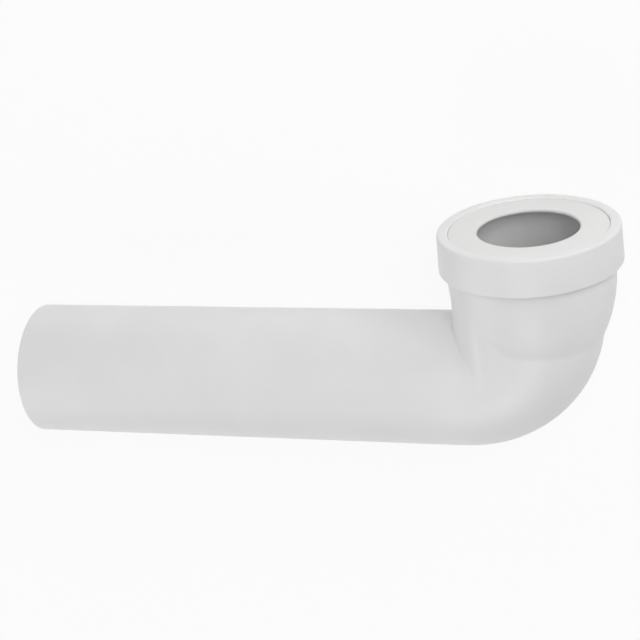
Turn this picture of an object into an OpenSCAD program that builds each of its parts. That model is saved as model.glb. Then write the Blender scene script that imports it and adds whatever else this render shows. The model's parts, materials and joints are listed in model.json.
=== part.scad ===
// Bent toilet pan connector: a long plain spigot, a tight bend and a collared mouth
// with a soft lip seal for the outlet of the pan. All sizes are in millimetres.
// The part lies on its side, on its pipe and on the lower edge of its collar.

/* [Pipe] */
// Outer diameter of the spigot pipe
pipe_od = 100; // [96:1:108]
// Length from the axis of the mouth to the end of the spigot
pipe_reach = 400; // [250:5:600]
// Wall thickness of the body
wall = 3; // [2.4:0.1:3.6]
// Lead-in chamfer round the end of the spigot
spigot_chamfer = 1; // [0.4:0.1:1.6]

/* [Bend] */
// Radius at the inside of the bend
bend_inner_r = 2.7; // [1:0.1:6]
// How much smaller the pipe's radius is in the bend than in the spigot
bend_slim = 0.2; // [0.1:0.05:0.4]
// Distance from the throat's front to where the plain spigot ends
spigot_clear = 1.2; // [1:0.1:3]

/* [Neck] */
// Height of the collar's top above the axis of the pipe
mouth_rise = 120; // [118:1:180]
// Outer diameter of the neck under the collar
neck_od = 119.4; // [106:0.2:126]
// Length of the neck's straight stretch below the collar
neck_straight = 8; // [4:0.5:10]
// Radius of the long curve that narrows the neck towards the bend
taper_r = 111; // [106:1:130]
// Depth to which the narrowing neck sinks into the bend
taper_sink = 2.7; // [2:0.1:4]

/* [Throat] */
// How much smaller the throat's radius is than the neck's
throat_step = 0.9; // [0.5:0.1:1.6]
// Distance of the throat's flat sides inside the sides of the bend
throat_inset = 0.2; // [0.1:0.05:0.5]
// Radius of the throat's two upright edges
throat_edge_r = 20; // [10:1:30]

/* [Snap bead] */
// Height of the bead that holds the collar on the neck
bead_h = 2.2; // [1.4:0.1:3]
// Length of the bead's full height along the neck
bead_land = 3; // [2:0.5:5]
// Length of the bead's lead-in slope
bead_ramp = 5; // [3:0.5:7]

/* [Collar] */
// Height of the collar
collar_h = 27; // [22:0.5:30]
// Thickness of the collar's wall at its top
collar_wall = 2.5; // [2:0.1:4]
// How much larger the collar's outer radius is at its lower edge
collar_draft = 0.6; // [0:0.1:1]
// Thickness of the collar's top rim
rim_t = 2.5; // [2:0.1:4]
// Width of the collar's top rim
rim_w = 7.9; // [6.5:0.1:9]
// Radius of the collar's outer top edge
rim_outer_edge_r = 2; // [1:0.1:2.4]
// Radius of the opening's top edge
rim_inner_edge_r = 1.2; // [0.6:0.1:1.6]
// Height of the hook at the collar's lower edge
hook_h = 3; // [2:0.5:4]

/* [Seal] */
// Diameter of the hole for the pan's outlet, unstretched
hole_d = 72.4; // [64:0.2:84]
// Depth of the seal's face below the top of the collar
face_drop = 1.2; // [0.8:0.1:1.6]
// Thickness of the seal's face
face_t = 2.5; // [2.2:0.1:3.4]
// Radius of the lip's rounded edge
lip_edge_r = 1.5; // [0.8:0.1:1.8]
// Radius of the face's outer edge
face_edge_r = 0.4; // [0.2:0.1:0.8]
// Thickness of the flange between the mouth and the collar
flange_t = 2; // [1.6:0.1:3]
// Wall thickness of the cuff inside the mouth
cuff_t = 2; // [1.4:0.1:3]
// Length of the cuff below the mouth's rim
cuff_h = 8; // [5:0.5:12]

/* [Clearances] */
// Radial gap between the collar and the neck it snaps over
snap_gap = 0.4; // [0.2:0.05:0.6]
// Radial gap round the seal's edges
seal_gap = 0.3; // [0.2:0.05:0.4]

/* [Hidden] */
$fn = 128;
white = "#f1f1f0";
soft_white = "#eaeae8";
// Amount by which a cut runs past the face it opens
past = 1;
// Steps along a rounded edge, and along the longer curves of neck and throat
edge_steps = 6;
curve_steps = 14;

// Radii
pipe_r = pipe_od / 2;
bend_pipe_r = pipe_r - bend_slim;
bend_r = bend_pipe_r + bend_inner_r;
neck_r = neck_od / 2;
throat_r = neck_r - throat_step;
spigot_root = max(throat_r, bend_r) + spigot_clear;
bead_r = neck_r + bead_h;
collar_inner_r = bead_r + snap_gap;
collar_r = collar_inner_r + collar_wall;
collar_foot_r = collar_r + collar_draft;
opening_r = collar_r - rim_w;
face_r = opening_r - seal_gap;
flange_r = collar_inner_r - seal_gap;
cuff_r = neck_r - wall - seal_gap;
hole_r = hole_d / 2;

// Heights above the axis of the pipe
collar_foot = mouth_rise - collar_h;
hook_top = collar_foot + hook_h;
rim_bottom = mouth_rise - rim_t;
flange_bottom = rim_bottom - flange_t;
face_top = mouth_rise - face_drop;
face_bottom = face_top - face_t;
taper_top = collar_foot - neck_straight;
taper_drop = neck_r - pipe_r + taper_sink;
taper_bottom = taper_top - sqrt(taper_r ^ 2 - (taper_r - taper_drop) ^ 2);

// Tilt of the mouth's axis when pipe and collar both touch the ground, and the box
// that the part then fills, whose bottom centre is the origin
rest_lift = atan2(collar_foot_r, collar_foot) - asin(pipe_r / norm([collar_foot_r, collar_foot]));
rest_front = (collar_r - rim_outer_edge_r) * sin(rest_lift)
    + (mouth_rise - rim_outer_edge_r) * cos(rest_lift) + rim_outer_edge_r;
rest_shift = [(pipe_reach - collar_foot_r) / 2, (pipe_r - rest_front) / 2, pipe_r];

// Points along an arc about a centre, from one angle to another
function arc(centre, r, from, to, steps) =
    [for (i = [0:steps]) let (a = from + (to - from) * i / steps) centre + r * [cos(a), sin(a)]];

// Lays a piece modelled with its mouth upwards down on its side
module at_rest() {
    translate(rest_shift)
        rotate([rest_lift - 90, 0, 0])
            children();
}

// Side view of the neck's curve, from its foot inside the bend up to its straight part
function taper(inset) =
    arc([neck_r - taper_r - inset, taper_top], taper_r, asin((taper_bottom - taper_top) / taper_r), 0, curve_steps);

// Solid of the neck up to a height, with the outline of a bead on it
module neck(inset, top, bead = []) {
    rotate_extrude()
        polygon(concat([[0, taper_bottom]], taper(inset), bead, [[neck_r - inset, top], [0, top]]));
}

// Round pipe from the spigot through the slightly slimmer bend and straight up to the collar
module bent_pipe(inset, end) {
    spigot_r = pipe_r - inset;
    r = bend_pipe_r - inset;
    translate([-pipe_reach - end, 0, 0])
        rotate([0, 90, 0])
            rotate_extrude()
                polygon([
                    [0, 0],
                    [spigot_r, 0],
                    [spigot_r, pipe_reach + end - spigot_root],
                    [r, pipe_reach + end - bend_r],
                    [0, pipe_reach + end - bend_r]
                ]);
    translate([-bend_r, 0, bend_r])
        rotate([90, 0, 0])
            rotate_extrude(angle = -90)
                translate([bend_r, 0])
                    circle(r = r);
    translate([0, 0, bend_r])
        cylinder(r = r, h = collar_foot - bend_r);
}

// Plan of half the throat: a round front between two flat sides with rounded edges
function throat_plan(inset) =
    let (
        half_w = bend_pipe_r - throat_inset - inset,
        r = throat_r - inset,
        edge_r = throat_edge_r - inset,
        edge_y = half_w - edge_r,
        edge_x = sqrt((r - edge_r) ^ 2 - edge_y ^ 2),
        turn = atan2(edge_y, edge_x)
    )
    concat(
        [[0, half_w]],
        arc([-edge_x, edge_y], edge_r, 90, 180 - turn, edge_steps),
        arc([0, 0], r, 180 - turn, 180 + turn, 2 * curve_steps),
        arc([-edge_x, -edge_y], edge_r, 180 + turn, 270, edge_steps),
        [[0, -half_w]]
    );

// Block that fills the inside of the bend up to the collar
module throat(inset) {
    intersection() {
        linear_extrude(height = collar_foot)
            polygon(throat_plan(inset));
        rotate([90, 0, 0])
            linear_extrude(height = 2 * throat_r, center = true)
                polygon(concat(
                    [[-neck_r, mouth_rise], [-neck_r, 0]],
                    arc([-bend_r, bend_r], bend_r, 270, 360, curve_steps),
                    [[0, mouth_rise]]
                ));
    }
}

// The one-piece moulding: pipe, bend, throat and neck, hollow at an even wall
module body() {
    bead = [
        [neck_r, hook_top],
        [bead_r, hook_top],
        [bead_r, hook_top + bead_land],
        [neck_r, hook_top + bead_land + bead_ramp]
    ];
    color(white)
        at_rest()
            difference() {
                union() {
                    bent_pipe(0, 0);
                    throat(0);
                    neck(0, flange_bottom, bead);
                }
                bent_pipe(wall, past);
                throat(wall);
                neck(wall, flange_bottom + past);
                spigot_lead_in();
            }
}

// Ring cut off the spigot's end, which leaves its chamfer
module spigot_lead_in() {
    outer_r = pipe_r + past;
    translate([-pipe_reach, 0, 0])
        rotate([0, 90, 0])
            rotate_extrude()
                polygon([
                    [pipe_r - spigot_chamfer, 0],
                    [pipe_r - spigot_chamfer - past, -past],
                    [outer_r, -past],
                    [outer_r, spigot_chamfer + past]
                ]);
}

// The soft seal: flat face with the lipped hole, clamped flange and cuff
module seal() {
    color(soft_white)
        at_rest()
            rotate_extrude()
                polygon(concat(
                    [[hole_r, face_bottom]],
                    arc([hole_r + lip_edge_r, face_top - lip_edge_r], lip_edge_r, 180, 90, edge_steps),
                    arc([face_r - face_edge_r, face_top - face_edge_r], face_edge_r, 90, 0, edge_steps),
                    [
                        [face_r, rim_bottom],
                        [flange_r, rim_bottom],
                        [flange_r, flange_bottom],
                        [cuff_r, flange_bottom],
                        [cuff_r, flange_bottom - cuff_h],
                        [cuff_r - cuff_t, flange_bottom - cuff_h],
                        [cuff_r - cuff_t, face_bottom]
                    ]
                ));
}

// The collar: top rim over the seal, outer wall and the hook under the snap bead
module retaining_ring() {
    color(white)
        at_rest()
            rotate_extrude()
                polygon(concat(
                    [[opening_r, rim_bottom]],
                    arc([opening_r + rim_inner_edge_r, mouth_rise - rim_inner_edge_r],
                        rim_inner_edge_r, 180, 90, edge_steps),
                    arc([collar_r - rim_outer_edge_r, mouth_rise - rim_outer_edge_r],
                        rim_outer_edge_r, 90, 0, edge_steps),
                    [
                        [collar_foot_r, collar_foot],
                        [neck_r + snap_gap, collar_foot],
                        [neck_r + snap_gap, hook_top],
                        [collar_inner_r, hook_top],
                        [collar_inner_r, rim_bottom]
                    ]
                ));
}

body();
seal();
retaining_ring();
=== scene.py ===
"""Models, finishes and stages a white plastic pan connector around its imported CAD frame."""

import json
import math

import bpy
import numpy as np
from bpy.props import (
    FloatProperty,
    FloatVectorProperty,
    IntProperty,
    PointerProperty,
)
from mathutils import Matrix, Vector


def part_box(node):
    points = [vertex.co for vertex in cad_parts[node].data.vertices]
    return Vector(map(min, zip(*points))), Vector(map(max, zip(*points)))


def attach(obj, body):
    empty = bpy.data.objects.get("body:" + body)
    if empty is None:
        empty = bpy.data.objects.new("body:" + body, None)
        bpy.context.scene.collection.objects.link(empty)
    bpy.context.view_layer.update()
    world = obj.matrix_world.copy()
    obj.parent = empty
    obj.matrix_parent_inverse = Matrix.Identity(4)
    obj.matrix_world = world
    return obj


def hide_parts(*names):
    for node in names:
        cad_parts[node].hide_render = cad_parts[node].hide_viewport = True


bl_info = {
    "name": "Bent Pan Connector",
    "version": (1, 0, 0),
    "blender": (4, 5, 0),
    "location": "View3D > Sidebar > Pan Connector",
    "description": "Models, finishes and stages a white plastic pan connector",
    "category": "Object",
}

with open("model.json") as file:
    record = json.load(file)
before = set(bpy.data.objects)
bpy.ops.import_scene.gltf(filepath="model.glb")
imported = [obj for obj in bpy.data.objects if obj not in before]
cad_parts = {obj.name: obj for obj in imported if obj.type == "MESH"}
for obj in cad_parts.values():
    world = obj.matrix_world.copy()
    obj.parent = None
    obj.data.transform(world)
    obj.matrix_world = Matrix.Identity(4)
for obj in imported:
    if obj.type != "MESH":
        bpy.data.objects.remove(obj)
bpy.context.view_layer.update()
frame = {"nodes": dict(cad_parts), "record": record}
MM = 0.001
MOUNTS = {mount["name"]: mount for mount in frame["record"]["mounts"]}


def lying_matrix():
    """Matrix that lays a piece modelled with its mouth upwards down on its side.

    Upright, the spigot runs along -X, the mouth opens along +Z, and their axes cross at the origin.
    """
    pipe, mouth = MOUNTS["spigot"]["pos_m"], MOUNTS["pan_inlet"]["pos_m"]
    axis = MOUNTS["pan_inlet"]["axis"]
    lift = math.atan2(axis[2], axis[1])
    crossing = Matrix.Translation((mouth[0], pipe[1], pipe[2]))
    return crossing @ Matrix.Rotation(lift - math.pi / 2, 4, "X")


LYING = lying_matrix()


def turned_sizes(node):
    """Radii about the mouth's axis and heights above the pipe's axis of a CAD node's points."""
    to_upright = LYING.inverted()
    points = [to_upright @ vertex.co for vertex in frame["nodes"][node].data.vertices]
    return [(math.hypot(point.x, point.y), point.z) for point in points]


PIPE_RADIUS = MOUNTS["spigot"]["dims"]["r_mm"] * MM
BORE_RADIUS = MOUNTS["outlet"]["dims"]["r_mm"] * MM
HOLE_RADIUS = MOUNTS["pan_inlet"]["dims"]["r_mm"] * MM
COLLAR = turned_sizes("retaining_ring")
SEAL = turned_sizes("seal")
COLLAR_FOOT = min(level for radius, level in COLLAR)
COLLAR_TOP = max(level for radius, level in COLLAR)
SEAL_TOP = max(level for radius, level in SEAL)
SEAL_FOOT = min(level for radius, level in SEAL)
BODY_TOP = max(level for radius, level in turned_sizes("body"))
SPIGOT_END = LYING.to_translation().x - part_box("body")[0].x


def length(name, description, default):
    """A size in metres that a user may change."""
    return FloatProperty(
        name=name, description=description, default=default, min=0.0, unit="LENGTH", precision=5
    )


def share(name, description, default):
    """A plain factor between 0 and 1."""
    return FloatProperty(
        name=name, description=description, default=default, min=0.0, max=1.0, subtype="FACTOR"
    )


def watts(name, description, default):
    """A light's power."""
    return FloatProperty(name=name, description=description, default=default, min=0.0, unit="POWER")


def colour(name, description, default):
    """A surface colour."""
    return FloatVectorProperty(
        name=name, description=description, default=default, size=3, min=0.0, max=1.0, subtype="COLOR"
    )


class ConnectorBodySizes(bpy.types.PropertyGroup):
    """Sizes of the moulded body."""

    pipe_radius: length("Pipe radius", "Outer radius of the spigot", PIPE_RADIUS)
    wall: length("Wall", "Wall thickness of the moulding", PIPE_RADIUS - BORE_RADIUS)
    reach: length("Reach", "From the mouth's axis to the spigot's end", SPIGOT_END)
    chamfer: length("Chamfer", "Lead-in round the spigot's end", 1.0 * MM)
    edge: length("Edge", "Rounding of the spigot's end", 0.25 * MM)
    bend_radius: length("Bend radius", "Radius of the pipe's bent centre line", 52.5 * MM)
    bend_slim: length("Bend slimming", "How much slimmer the pipe is in the bend", 0.2 * MM)
    spigot_root: length("Spigot root", "From the mouth's axis to the plain pipe's end", 60.0 * MM)
    throat_radius: length("Throat radius", "Radius of the throat's front", 58.8 * MM)
    throat_half_width: length("Throat half width", "To the throat's flat sides", 49.6 * MM)
    throat_edge: length("Throat edge", "Radius of the throat's upright edges", 20.0 * MM)
    throat_fillet: length("Throat fillet", "Rounding between throat and pipe", 2.0 * MM)
    neck_radius: length("Neck radius", "Radius of the neck under the collar", 59.7 * MM)
    neck_foot: length("Neck foot", "Height at which the neck starts to narrow", 85.0 * MM)
    taper_radius: length("Taper radius", "Radius of the neck's narrowing curve", 111.0 * MM)
    neck_fillet: length("Neck fillet", "Rounding between neck and bend", 8.0 * MM)
    neck_blend: length("Neck blend", "Most that the neck's rounding may reach", 1.5 * MM)
    bead_radius: length("Bead radius", "Outer radius of the snap bead", 61.9 * MM)
    bead_foot: length("Bead foot", "Height of the snap bead's lower face", 96.0 * MM)
    bead_land: length("Bead land", "Full height of the snap bead", 3.0 * MM)
    bead_ramp: length("Bead ramp", "Length of the snap bead's lead-in", 5.0 * MM)
    top: length("Top", "Height of the mouth's edge", BODY_TOP)
    sides: IntProperty(name="Sides", description="Faces round the pipe", default=252, min=24)
    bend_steps: IntProperty(name="Bend steps", description="Rings round the bend", default=108, min=8)


class ConnectorCollarSizes(bpy.types.PropertyGroup):
    """Sizes of the collar that snaps over the mouth."""

    foot: length("Foot", "Height of the collar's lower edge", COLLAR_FOOT)
    top: length("Top", "Height of the collar's top", COLLAR_TOP)
    foot_radius: length("Foot radius", "Outer radius at the lower edge", max(COLLAR)[0])
    radius: length("Radius", "Outer radius below the top edge", 64.8 * MM)
    opening_radius: length("Opening radius", "Radius of the rim's opening", min(COLLAR)[0])
    inner_radius: length("Inner radius", "Inner radius of the collar's wall", 62.3 * MM)
    hook_radius: length("Hook radius", "Inner radius of the hook", 60.1 * MM)
    hook: length("Hook", "Height of the hook", 3.0 * MM)
    rim: length("Rim", "Thickness of the rim", 2.5 * MM)
    outer_edge: length("Outer edge", "Radius of the outer top edge", 2.0 * MM)
    inner_edge: length("Inner edge", "Radius of the opening's top edge", 1.2 * MM)
    foot_edge: length("Foot edge", "Radius of the lower outer edge", 0.4 * MM)
    sides: IntProperty(name="Sides", description="Faces round the collar", default=256, min=24)


class ConnectorSealSizes(bpy.types.PropertyGroup):
    """Sizes of the soft seal."""

    hole_radius: length("Hole radius", "Radius of the hole for the pan", HOLE_RADIUS)
    top: length("Top", "Height of the seal's face", SEAL_TOP)
    face: length("Face", "Thickness of the seal's face", 2.5 * MM)
    lip_edge: length("Lip edge", "Radius of the lip's upper edge", 1.5 * MM)
    lip_under: length("Lip under edge", "Radius of the lip's lower edge", 0.5 * MM)
    face_radius: length("Face radius", "Radius of the face in the rim's opening", 56.6 * MM)
    face_edge: length("Face edge", "Radius of the face's outer edge", 0.4 * MM)
    flange_radius: length("Flange radius", "Radius of the clamped flange", 62.0 * MM)
    flange_top: length("Flange top", "Height of the clamped flange's top", 117.5 * MM)
    flange_foot: length("Flange foot", "Height of the clamped flange's foot", BODY_TOP)
    cuff_radius: length("Cuff radius", "Outer radius of the cuff", 56.4 * MM)
    cuff: length("Cuff", "Thickness of the cuff", 2.0 * MM)
    cuff_edge: length("Cuff edge", "Rounding of the cuff's free end", 0.8 * MM)
    foot: length("Foot", "Height of the cuff's free end", SEAL_FOOT)
    sides: IntProperty(name="Sides", description="Faces round the seal", default=256, min=24)


class ConnectorFinishes(bpy.types.PropertyGroup):
    """Colours and surfaces of the three plastics."""

    body_colour: colour("Body", "White of the body", (0.88, 0.88, 0.88))
    body_shade: colour("Body shade", "Slightly darker white in the body", (0.85, 0.85, 0.85))
    collar_colour: colour("Collar", "White of the collar", (0.89, 0.89, 0.89))
    collar_shade: colour("Collar shade", "Slightly darker white in the collar", (0.86, 0.86, 0.86))
    seal_colour: colour("Seal", "White of the soft seal", (0.88, 0.88, 0.87))
    seal_shade: colour("Seal shade", "Slightly darker white in the seal", (0.85, 0.85, 0.84))
    plastic_roughness: share("Plastic roughness", "Mean roughness of the hard plastic", 0.42)
    seal_roughness: share("Seal roughness", "Mean roughness of the soft seal", 0.58)


# Direction from the part to each soft light, by the setting that holds the light's power
LIGHT_DIRECTIONS = {
    "camera_side": (0.3, 0.35, 0.9),
    "over_mouth": (0.05, 0.9, 0.4),
    "mouth_right": (0.7, 0.6, 0.4),
    "behind_bend": (0.0, -0.8, 0.6),
    "spigot_end": (-0.9, 0.3, 0.35),
    "spigot_below": (-0.75, -0.55, 0.35),
}


class ConnectorStage(bpy.types.PropertyGroup):
    """Floor, light and camera."""

    floor_colour: colour("Floor", "Colour of the floor", (0.9, 0.9, 0.9))
    floor_glow: share("Floor glow", "How much the camera sees of a plain white floor", 0.9)
    ambient: FloatProperty(name="Ambient", description="Strength of the soft light all round", default=0.15)
    light_distance: length("Light distance", "From the part to each soft light", 1.6)
    light_width: length("Light width", "Width of each soft light", 0.9)
    camera_side: watts("Camera side", "Power of the light beside the camera", 8.0)
    over_mouth: watts("Over mouth", "Power of the light that faces the mouth", 4.6)
    mouth_right: watts("Mouth right", "Power of the light right of the mouth", 6.5)
    behind_bend: watts("Behind bend", "Power of the light on the bend's side", 6.8)
    spigot_end: watts("Spigot end", "Power of the light at the spigot's end", 3.5)
    spigot_below: watts("Spigot below", "Power of the light below the spigot", 4.3)
    camera_place: FloatVectorProperty(
        name="Camera place",
        description="Place of the camera",
        default=(0.41405, 0.33578, 1.23601),
        subtype="TRANSLATION",
        precision=5,
    )
    camera_forward: FloatVectorProperty(
        name="Camera direction",
        description="Direction in which the camera looks",
        default=(-0.3182, -0.2595, -0.9118),
        subtype="DIRECTION",
        precision=5,
    )
    camera_up: FloatVectorProperty(
        name="Camera up",
        description="Direction that is up in the picture",
        default=(-0.0156, 0.9631, -0.2686),
        subtype="DIRECTION",
        precision=5,
    )
    lens: FloatProperty(name="Lens", description="Focal length of the camera", default=97.08, unit="CAMERA")
    shift: FloatVectorProperty(
        name="Shift", description="Shift of the picture's centre", default=(0.0021, 0.0099), size=2
    )


def new_primitive(name, add, **settings):
    """Adds a primitive alone in the selection, named, with its place in its mesh, open for editing."""
    bpy.ops.object.select_all(action="DESELECT")
    add(**settings)
    piece = bpy.context.object
    piece.name = piece.data.name = name
    bpy.ops.object.transform_apply(location=True, rotation=True, scale=True)
    bpy.ops.object.mode_set(mode="EDIT")
    return piece


def select_points(piece, test):
    """Selects the points of the piece in edit mode whose place passes the test."""
    bpy.ops.mesh.select_mode(type="VERT")
    bpy.ops.mesh.select_all(action="DESELECT")
    bpy.ops.object.mode_set(mode="OBJECT")
    for vertex in piece.data.vertices:
        vertex.select = test(vertex.co)
    bpy.ops.object.mode_set(mode="EDIT")


def close_shell():
    """Merges the seams of the piece in edit mode and turns its faces outwards."""
    bpy.ops.mesh.select_all(action="SELECT")
    bpy.ops.mesh.remove_doubles(threshold=0.002 * MM)
    bpy.ops.mesh.normals_make_consistent(inside=False)


def finish_piece(piece, node, material, smooth_angle=35):
    """Lays the piece down, smooths it, gives it its finish and lets it stand for its CAD node."""
    bpy.ops.object.mode_set(mode="OBJECT")
    piece.data.transform(LYING)
    bpy.ops.object.shade_smooth_by_angle(angle=math.radians(smooth_angle))
    piece.data.materials.clear()
    piece.data.materials.append(material)
    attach(piece, "root")
    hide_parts(node)


def pipe_distance(points, sizes):
    """Signed distance of points from the surface of the bent pipe."""
    x, y, z = points.T
    bend = sizes.bend_radius
    slimming = np.clip((x + sizes.spigot_root) / (sizes.spigot_root - bend), 0, 1)
    radius = sizes.pipe_radius - sizes.bend_slim * slimming
    spigot = np.sqrt(np.maximum(x + bend, 0) ** 2 + y**2 + z**2)
    upright = np.sqrt(x**2 + y**2 + np.maximum(bend - z, 0) ** 2)
    turn = np.hypot(np.hypot(x + bend, z - bend) - bend, y)
    in_turn = (x > -bend) & (z < bend)
    return np.minimum(np.minimum(spigot, upright), np.where(in_turn, turn, np.inf)) - radius


def throat_plan(points, sizes):
    """Signed distance of points from the throat's plan: a round front between flat sides."""
    x, y = points[:, 0], points[:, 1]
    edge = sizes.throat_edge
    core_radius, core_width = sizes.throat_radius - edge, sizes.throat_half_width - edge
    corner = math.sqrt(core_radius**2 - core_width**2)
    ahead, side = np.maximum(-x, 0), np.abs(y)
    plan = np.maximum(np.hypot(ahead, side) - core_radius, side - core_width)
    past_corner = (ahead > corner) & (side * corner > ahead * core_width)
    return np.where(past_corner, np.hypot(ahead - corner, side - core_width), plan) - edge


def throat_distance(points, sizes):
    """Signed distance of points from the throat, which stands on the pipe's centre line."""
    x, z = points[:, 0], points[:, 2]
    bend = sizes.bend_radius
    below = np.where(x < -bend, -z, np.hypot(x + bend, z - bend) - bend)
    below = np.where(z > bend, x, below)
    return np.maximum(throat_plan(points, sizes), below)


def neck_distance(points, sizes):
    """Signed distance of points from the neck, which narrows downwards along a long curve."""
    x, y, z = points.T
    out = np.hypot(x, y)
    centre = sizes.neck_radius - sizes.taper_radius
    curved = np.hypot(out - centre, z - sizes.neck_foot) - sizes.taper_radius
    return np.where(z > sizes.neck_foot, out - sizes.neck_radius, curved)


def melt(first, second, width):
    """Union of two signed distances whose crease is rounded over a width."""
    overlap = np.maximum(width - np.abs(first - second), 0)
    return np.minimum(first, second) - overlap**2 / (4 * np.maximum(width, 1e-9))


def slope(distance, points, sizes):
    """Directions in which a signed distance grows."""
    step = 0.05 * MM
    steps = np.eye(3) * step
    rise = [distance(points + side, sizes) - distance(points - side, sizes) for side in steps]
    rise = np.array(rise).T
    return rise / np.maximum(np.linalg.norm(rise, axis=1, keepdims=True), 1e-12)


def crease_width(first, second, fillet):
    """Width over which two surfaces melt so that the rounding between them has a radius."""
    cosine = np.clip((first * second).sum(axis=1), -1, 1)
    return fillet * (1 - cosine) / np.sqrt((1 + cosine) / 2 + 1e-6)


def surface_along(centres, rays, start, end, outside):
    """Points where rays from inside a solid leave it, found by halving."""
    near, far = np.full(len(rays), start), np.full(len(rays), end)
    for _ in range(40):
        middle = (near + far) / 2
        out = outside(centres + rays * middle[:, None]) > 0
        near, far = np.where(out, near, middle), np.where(out, middle, far)
    return centres + rays * ((near + far) / 2)[:, None]


def body_form(points, pivot, sizes):
    """Moves the swept pipe's points out onto pipe, throat and neck, joined by rounded creases."""
    x, z = points[:, 0], points[:, 2]
    angle = np.arctan2(x + pivot, pivot - z)
    centres = np.zeros_like(points)
    centres[:, 0] = pivot * (np.sin(angle) - 1)
    centres[:, 2] = pivot * (1 - np.cos(angle))
    on_spigot, on_neck = x < -pivot, z > pivot
    centres[on_spigot] = points[on_spigot] * (1, 0, 0)
    centres[on_neck] = points[on_neck] * (0, 0, 1)
    rays = points - centres
    rays /= np.linalg.norm(rays, axis=1, keepdims=True)
    start, end = 0.4 * sizes.pipe_radius, 1.8 * sizes.pipe_radius

    def trunk(at):
        return np.minimum(pipe_distance(at, sizes), throat_distance(at, sizes))

    def sharp(at):
        return np.minimum(trunk(at), neck_distance(at, sizes))

    rough = surface_along(centres, rays, start, end, sharp)
    pipe_slope = slope(pipe_distance, rough, sizes)
    throat_slope = slope(throat_plan, rough, sizes)
    trunk_slope = slope(lambda at, _: trunk(at), rough, sizes)
    neck_slope = slope(neck_distance, rough, sizes)
    throat_width = crease_width(pipe_slope, throat_slope, sizes.throat_fillet)
    neck_width = crease_width(trunk_slope, neck_slope, sizes.neck_fillet)
    neck_width = np.minimum(neck_width, sizes.neck_blend)

    def rounded(at):
        joined = melt(pipe_distance(at, sizes), throat_distance(at, sizes), throat_width)
        return melt(joined, neck_distance(at, sizes), neck_width)

    return surface_along(centres, rays, start, end, rounded)


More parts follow.
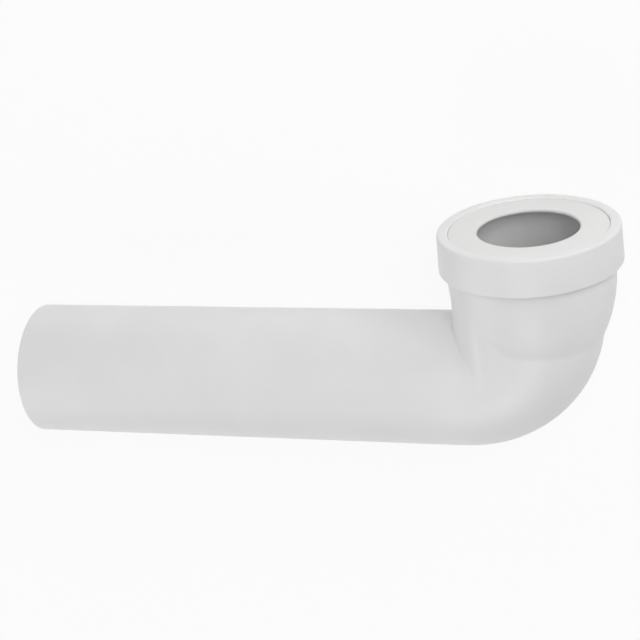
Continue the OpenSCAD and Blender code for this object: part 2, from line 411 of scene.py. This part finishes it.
class MESH_OT_connector_body(bpy.types.Operator):
    """Model the hollow body: spigot, bend, throat and neck"""

    bl_idname = "mesh.connector_body"
    bl_label = "Model Body"

    def execute(self, context):
        sizes = context.scene.connector_body_sizes
        pivot = sizes.throat_radius + 3.2 * MM
        piece = new_primitive(
            "moulded_body",
            bpy.ops.mesh.primitive_circle_add,
            vertices=sizes.sides,
            radius=sizes.pipe_radius,
            location=(-sizes.reach, 0, 0),
            rotation=(0, math.pi / 2, 0),
        )
        bpy.ops.mesh.select_all(action="SELECT")
        spigot_steps = 12
        for _ in range(spigot_steps):
            advance = (sizes.reach - pivot) / spigot_steps
            bpy.ops.mesh.extrude_region_move(TRANSFORM_OT_translate={"value": (advance, 0, 0)})
        bpy.ops.mesh.spin(
            steps=sizes.bend_steps, angle=math.pi / 2, center=(-pivot, 0, pivot), axis=(0, 1, 0)
        )
        levels = np.linspace(pivot, sizes.bead_foot - 2 * MM, 24)[1:].tolist()
        levels += [sizes.bead_foot, sizes.bead_foot + sizes.bead_land]
        levels += [sizes.bead_foot + sizes.bead_land + sizes.bead_ramp, sizes.top]
        for low, high in zip([pivot] + levels, levels):
            bpy.ops.mesh.extrude_region_move(TRANSFORM_OT_translate={"value": (0, 0, high - low)})
        bpy.ops.object.mode_set(mode="OBJECT")
        mesh = piece.data
        points = np.empty(len(mesh.vertices) * 3)
        mesh.vertices.foreach_get("co", points)
        points = body_form(points.reshape(-1, 3), pivot, sizes)
        mesh.vertices.foreach_set("co", points.ravel())
        mesh.update()
        bpy.ops.object.mode_set(mode="EDIT")
        close_shell()
        bpy.ops.object.mode_set(mode="OBJECT")
        shell = piece.modifiers.new("wall", "SOLIDIFY")
        shell.thickness = sizes.wall
        shell.offset = -1
        shell.use_even_offset = True
        bpy.ops.object.modifier_apply(modifier=shell.name)
        self.add_bead(piece, sizes)
        self.cut_lead_in(piece, sizes)
        finish_piece(piece, "body", body_plastic(context.scene.connector_finishes))
        return {"FINISHED"}

    def add_bead(self, piece, sizes):
        """Raises the snap bead round the neck, with its lead-in slope."""
        bpy.ops.object.mode_set(mode="EDIT")
        land_top = sizes.bead_foot + sizes.bead_land
        bead_top = land_top + sizes.bead_ramp
        inside = sizes.neck_radius - sizes.wall / 2
        slack = 0.01 * MM

        def on_bead(co):
            within = sizes.bead_foot - slack < co.z < bead_top + slack
            return within and math.hypot(co.x, co.y) > inside

        select_points(piece, on_bead)
        bpy.ops.mesh.select_mode(type="FACE")
        bpy.ops.mesh.extrude_region_shrink_fatten(
            TRANSFORM_OT_shrink_fatten={"value": sizes.bead_radius - sizes.neck_radius}
        )
        middle = (sizes.neck_radius + sizes.bead_radius) / 2
        select_points(piece, lambda co: co.z > bead_top - slack and math.hypot(co.x, co.y) > middle)
        back = sizes.neck_radius / sizes.bead_radius
        bpy.ops.transform.resize(value=(back, back, 1), center_override=(0, 0, bead_top))
        bpy.ops.mesh.select_all(action="SELECT")
        bpy.ops.mesh.remove_doubles(threshold=0.01 * MM)

    def cut_lead_in(self, piece, sizes):
        """Chamfers the spigot's end and takes the sharpness off its edges."""
        slack = 0.01 * MM
        outer = sizes.pipe_radius - slack
        select_points(piece, lambda co: co.x < slack - sizes.reach and math.hypot(co.y, co.z) > outer)
        bpy.ops.mesh.select_mode(type="EDGE")
        bpy.ops.mesh.bevel(offset=sizes.chamfer, segments=1, affect="EDGES")
        bpy.ops.mesh.select_all(action="DESELECT")
        self.select_rings(piece, sizes, slack)
        bpy.ops.mesh.bevel(offset=sizes.edge, segments=3, affect="EDGES")

    def select_rings(self, piece, sizes, slack):
        """Selects the edges that run round the spigot's end."""
        bpy.ops.object.mode_set(mode="OBJECT")
        points = [vertex.co for vertex in piece.data.vertices]
        limit = sizes.chamfer + slack - sizes.reach
        for edge in piece.data.edges:
            start, end = (points[index] for index in edge.vertices)
            level = abs(start.x - end.x) < slack
            round_pipe = abs(math.hypot(start.y, start.z) - math.hypot(end.y, end.z)) < slack
            edge.select = level and round_pipe and start.x < limit
        bpy.ops.object.mode_set(mode="EDIT")


def draw_section(name, corners):
    """Draws a closed outline in the XZ plane by extruding one point from corner to corner."""
    piece = new_primitive(name, bpy.ops.mesh.primitive_plane_add, size=MM)
    bpy.ops.mesh.select_mode(type="VERT")
    bpy.ops.mesh.select_all(action="SELECT")
    bpy.ops.mesh.merge(type="CENTER")
    start = Vector((corners[0][0], 0, corners[0][1]))
    bpy.ops.transform.translate(value=start)
    for corner in corners[1:]:
        end = Vector((corner[0], 0, corner[1]))
        bpy.ops.mesh.extrude_region_move(TRANSFORM_OT_translate={"value": end - start})
        start = end
    bpy.ops.mesh.select_all(action="SELECT")
    bpy.ops.mesh.edge_face_add()
    return piece


def round_corner(piece, corner, radius, segments=6):
    """Rounds one corner of a drawn outline."""
    select_points(piece, lambda co: math.hypot(co.x - corner[0], co.z - corner[1]) < 0.01 * MM)
    bpy.ops.mesh.bevel(offset=radius, segments=segments, profile=0.5, affect="VERTICES")


def turn_section(piece, sides):
    """Turns a drawn outline round the mouth's axis into a closed ring."""
    bpy.ops.mesh.select_mode(type="FACE")
    bpy.ops.mesh.select_all(action="SELECT")
    bpy.ops.mesh.delete(type="ONLY_FACE")
    bpy.ops.mesh.select_mode(type="EDGE")
    bpy.ops.mesh.select_all(action="SELECT")
    bpy.ops.mesh.spin(steps=sides, angle=2 * math.pi, center=(0, 0, 0), axis=(0, 0, 1))
    close_shell()


class MESH_OT_connector_collar(bpy.types.Operator):
    """Model the collar that holds the seal on the mouth"""

    bl_idname = "mesh.connector_collar"
    bl_label = "Model Collar"

    def execute(self, context):
        sizes = context.scene.connector_collar_sizes
        hook_top, rim_foot = sizes.foot + sizes.hook, sizes.top - sizes.rim
        corners = [
            (sizes.opening_radius, rim_foot),
            (sizes.opening_radius, sizes.top),
            (sizes.radius, sizes.top),
            (sizes.radius, sizes.top - sizes.outer_edge),
            (sizes.foot_radius, sizes.foot),
            (sizes.hook_radius, sizes.foot),
            (sizes.hook_radius, hook_top),
            (sizes.inner_radius, hook_top),
            (sizes.inner_radius, rim_foot),
        ]
        piece = draw_section("snap_collar", corners)
        round_corner(piece, corners[1], sizes.inner_edge)
        round_corner(piece, corners[2], sizes.outer_edge * 0.999, segments=8)
        round_corner(piece, corners[4], sizes.foot_edge, segments=3)
        round_corner(piece, corners[5], sizes.foot_edge, segments=3)
        turn_section(piece, sizes.sides)
        finish_piece(
            piece, "retaining_ring", collar_plastic(context.scene.connector_finishes)
        )
        return {"FINISHED"}


class MESH_OT_connector_seal(bpy.types.Operator):
    """Model the soft seal with its lipped hole"""

    bl_idname = "mesh.connector_seal"
    bl_label = "Model Seal"

    def execute(self, context):
        sizes = context.scene.connector_seal_sizes
        face_foot = sizes.top - sizes.face
        cuff_inner = sizes.cuff_radius - sizes.cuff
        corners = [
            (sizes.hole_radius, face_foot),
            (sizes.hole_radius, sizes.top),
            (sizes.face_radius, sizes.top),
            (sizes.face_radius, sizes.flange_top),
            (sizes.flange_radius, sizes.flange_top),
            (sizes.flange_radius, sizes.flange_foot),
            (sizes.cuff_radius, sizes.flange_foot),
            (sizes.cuff_radius, sizes.foot),
            (cuff_inner, sizes.foot),
            (cuff_inner, face_foot),
        ]
        piece = draw_section("lip_seal", corners)
        round_corner(piece, corners[0], sizes.lip_under, segments=4)
        round_corner(piece, corners[1], sizes.lip_edge, segments=8)
        round_corner(piece, corners[2], sizes.face_edge, segments=4)
        round_corner(piece, corners[7], sizes.cuff_edge, segments=4)
        round_corner(piece, corners[8], sizes.cuff_edge, segments=4)
        turn_section(piece, sizes.sides)
        finish_piece(piece, "seal", seal_rubber(context.scene.connector_finishes))
        return {"FINISHED"}


class NodeDesk:
    """Lays out the nodes of one material."""

    def __init__(self, name):
        self.material = bpy.data.materials.new(name)
        self.material.use_nodes = True
        self.tree = self.material.node_tree
        self.tree.nodes.clear()

    def add(self, kind, settings=None, **inputs):
        """Adds a node, sets its own settings, and fills its inputs with values or other nodes' outputs."""
        node = self.tree.nodes.new(kind)
        for key, value in (settings or {}).items():
            setattr(node, key, value)
        for key, value in inputs.items():
            socket = node.inputs[key.replace("_", " ")]
            if isinstance(value, bpy.types.NodeSocket):
                self.tree.links.new(value, socket)
            else:
                socket.default_value = value
        return node

    def noise(self, place, scale, detail=2.0, roughness=0.5):
        """Soft random pattern between 0 and 1."""
        node = self.add("ShaderNodeTexNoise", Vector=place, Scale=scale, Detail=detail, Roughness=roughness)
        return node.outputs["Fac"]

    def remap(self, value, low, high, out_low, out_high):
        """Maps one range of a pattern to another."""
        node = self.add(
            "ShaderNodeMapRange",
            Value=value,
            From_Min=low,
            From_Max=high,
            To_Min=out_low,
            To_Max=out_high,
        )
        return node.outputs["Result"]

    def bump(self, height, distance, below=None):
        """Relief of a pattern, laid over another relief."""
        inputs = {"Height": height, "Distance": distance, "Strength": 1.0}
        if below is not None:
            inputs["Normal"] = below
        return self.add("ShaderNodeBump", **inputs).outputs["Normal"]

    def blend(self, factor, first, second):
        """Colour between two colours."""
        node = self.add("ShaderNodeMix", {"data_type": "RGBA"})
        self.tree.links.new(factor, node.inputs[0])
        node.inputs[6].default_value = (*first, 1)
        node.inputs[7].default_value = (*second, 1)
        return node.outputs[2]


def moulded_white(name, white, shade, roughness, grain, flow, specular):
    """White moulded material: cloudy colour, uneven gloss, fine grain and faint flow lines."""
    desk = NodeDesk(name)
    place = desk.add("ShaderNodeTexCoord").outputs["Object"]
    drawn = desk.add("ShaderNodeMapping", Vector=place, Scale=flow).outputs["Vector"]
    clouds = desk.noise(place, 16.0, detail=3.0)
    streaks = desk.noise(drawn, 1.0, detail=4.0)
    skin = desk.noise(place, 520.0, detail=3.0, roughness=0.6)
    waves = desk.noise(place, 45.0, detail=1.0)
    tone = desk.blend(desk.remap(clouds, 0.35, 0.65, 0.0, 1.0), shade, white)
    gloss = desk.remap(streaks, 0.3, 0.7, roughness - 0.05, roughness + 0.05)
    relief = desk.bump(waves, 0.12 * MM)
    relief = desk.bump(streaks, 0.02 * MM, relief)
    relief = desk.bump(skin, grain, relief)
    shader = desk.add(
        "ShaderNodeBsdfPrincipled",
        Base_Color=tone,
        Roughness=gloss,
        Normal=relief,
        IOR=specular,
    )
    output = desk.add("ShaderNodeOutputMaterial")
    desk.tree.links.new(shader.outputs["BSDF"], output.inputs["Surface"])
    return desk.material


def body_plastic(finishes):
    """Satin white moulded plastic of the body, with faint lines along the pipe."""
    return moulded_white(
        "body_white",
        finishes.body_colour,
        finishes.body_shade,
        finishes.plastic_roughness,
        0.006 * MM,
        (6.0, 420.0, 420.0),
        1.49,
    )


def collar_plastic(finishes):
    """Satin white moulded plastic of the collar."""
    return moulded_white(
        "collar_white",
        finishes.collar_colour,
        finishes.collar_shade,
        finishes.plastic_roughness,
        0.006 * MM,
        (90.0, 90.0, 90.0),
        1.49,
    )


def seal_rubber(finishes):
    """Soft matt white of the seal."""
    return moulded_white(
        "seal_white",
        finishes.seal_colour,
        finishes.seal_shade,
        finishes.seal_roughness,
        0.01 * MM,
        (120.0, 120.0, 120.0),
        1.45,
    )


def white_seen(tree):
    """1 for rays that look at the white background, and 0 for the light that falls on the part."""
    path = tree.nodes.new("ShaderNodeLightPath")
    seen = path.outputs["Is Camera Ray"]
    for ray in ("Is Glossy Ray", "Is Transmission Ray"):
        either = tree.nodes.new("ShaderNodeMath")
        either.operation = "MAXIMUM"
        tree.links.new(seen, either.inputs[0])
        tree.links.new(path.outputs[ray], either.inputs[1])
        seen = either.outputs[0]
    return seen


class SCENE_OT_connector_stage(bpy.types.Operator):
    """Set the floor, the soft light and the camera"""

    bl_idname = "scene.connector_stage"
    bl_label = "Set Stage"

    def execute(self, context):
        settings = context.scene.connector_stage
        self.lay_floor(settings)
        self.light_world(context.scene, settings)
        self.hang_lights(settings)
        self.place_camera(context.scene, settings)
        context.scene.view_settings.view_transform = "Standard"
        return {"FINISHED"}

    def lay_floor(self, settings):
        """Wide floor, seen as plain white with the part's soft shadow on it."""
        bpy.ops.object.select_all(action="DESELECT")
        bpy.ops.mesh.primitive_plane_add(size=60.0)
        floor = bpy.context.object
        floor.name = "studio_floor"
        desk = NodeDesk("floor_white")
        seen = white_seen(desk.tree)
        matt = desk.add("ShaderNodeBsdfDiffuse", Color=(*settings.floor_colour, 1)).outputs["BSDF"]
        glow = desk.add("ShaderNodeEmission", Color=(1, 1, 1, 1), Strength=1.0).outputs["Emission"]
        amount = desk.add("ShaderNodeMath", {"operation": "MULTIPLY"})
        desk.tree.links.new(seen, amount.inputs[0])
        amount.inputs[1].default_value = settings.floor_glow
        mixed = desk.add("ShaderNodeMixShader")
        desk.tree.links.new(amount.outputs[0], mixed.inputs[0])
        desk.tree.links.new(matt, mixed.inputs[1])
        desk.tree.links.new(glow, mixed.inputs[2])
        output = desk.add("ShaderNodeOutputMaterial")
        desk.tree.links.new(mixed.outputs[0], output.inputs["Surface"])
        floor.data.materials.append(desk.material)

    def light_world(self, scene, settings):
        """Soft light from all round, and a plain white beyond the floor."""
        world = bpy.data.worlds.new("studio_world")
        world.use_nodes = True
        scene.world = world
        nodes, links = world.node_tree.nodes, world.node_tree.links
        nodes.clear()
        strength = nodes.new("ShaderNodeMapRange")
        links.new(white_seen(world.node_tree), strength.inputs["Value"])
        strength.inputs["To Min"].default_value = settings.ambient
        strength.inputs["To Max"].default_value = 1.0
        background = nodes.new("ShaderNodeBackground")
        background.inputs["Color"].default_value = (1, 1, 1, 1)
        links.new(strength.outputs["Result"], background.inputs["Strength"])
        output = nodes.new("ShaderNodeOutputWorld")
        links.new(background.outputs["Background"], output.inputs["Surface"])

    def hang_lights(self, settings):
        """Large soft lights round the part, each turned towards the bend."""
        low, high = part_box("retaining_ring")
        bend = (low + high) / 2
        for name, direction in LIGHT_DIRECTIONS.items():
            outward = Vector(direction).normalized()
            bpy.ops.object.light_add(type="AREA", location=bend + outward * settings.light_distance)
            light = bpy.context.object
            light.name = name + "_light"
            light.data.energy = getattr(settings, name)
            light.data.size = settings.light_width
            light.rotation_euler = (-outward).to_track_quat("-Z", "Y").to_euler()

    def place_camera(self, scene, settings):
        """Camera at the photograph's angle."""
        bpy.ops.object.camera_add(location=settings.camera_place)
        camera = bpy.context.object
        forward = Vector(settings.camera_forward).normalized()
        right = forward.cross(Vector(settings.camera_up)).normalized()
        up = right.cross(forward)
        camera.rotation_euler = Matrix((right, up, -forward)).transposed().to_euler()
        camera.data.sensor_width = 36.0
        camera.data.lens = settings.lens
        camera.data.shift_x, camera.data.shift_y = settings.shift
        camera.data.clip_start = 0.01
        camera.data.clip_end = 100.0
        scene.camera = camera


PIECES = (MESH_OT_connector_body, MESH_OT_connector_collar, MESH_OT_connector_seal)
SETTINGS = {
    "connector_body_sizes": ConnectorBodySizes,
    "connector_collar_sizes": ConnectorCollarSizes,
    "connector_seal_sizes": ConnectorSealSizes,
    "connector_finishes": ConnectorFinishes,
    "connector_stage": ConnectorStage,
}


class VIEW3D_PT_connector(bpy.types.Panel):
    """Panel with the connector's steps"""

    bl_label = "Pan Connector"
    bl_space_type = "VIEW_3D"
    bl_region_type = "UI"
    bl_category = "Pan Connector"

    def draw(self, context):
        for operator in (*PIECES, SCENE_OT_connector_stage):
            self.layout.operator(operator.bl_idname)


CLASSES = (*SETTINGS.values(), *PIECES, SCENE_OT_connector_stage, VIEW3D_PT_connector)


def register():
    for entry in CLASSES:
        bpy.utils.register_class(entry)
    for name, group in SETTINGS.items():
        setattr(bpy.types.Scene, name, PointerProperty(type=group))


def unregister():
    for name in SETTINGS:
        delattr(bpy.types.Scene, name)
    for entry in reversed(CLASSES):
        bpy.utils.unregister_class(entry)


def main():
    register()
    bpy.ops.mesh.connector_body()
    bpy.ops.mesh.connector_collar()
    bpy.ops.mesh.connector_seal()
    bpy.ops.scene.connector_stage()


if __name__ == "__main__":
    main()
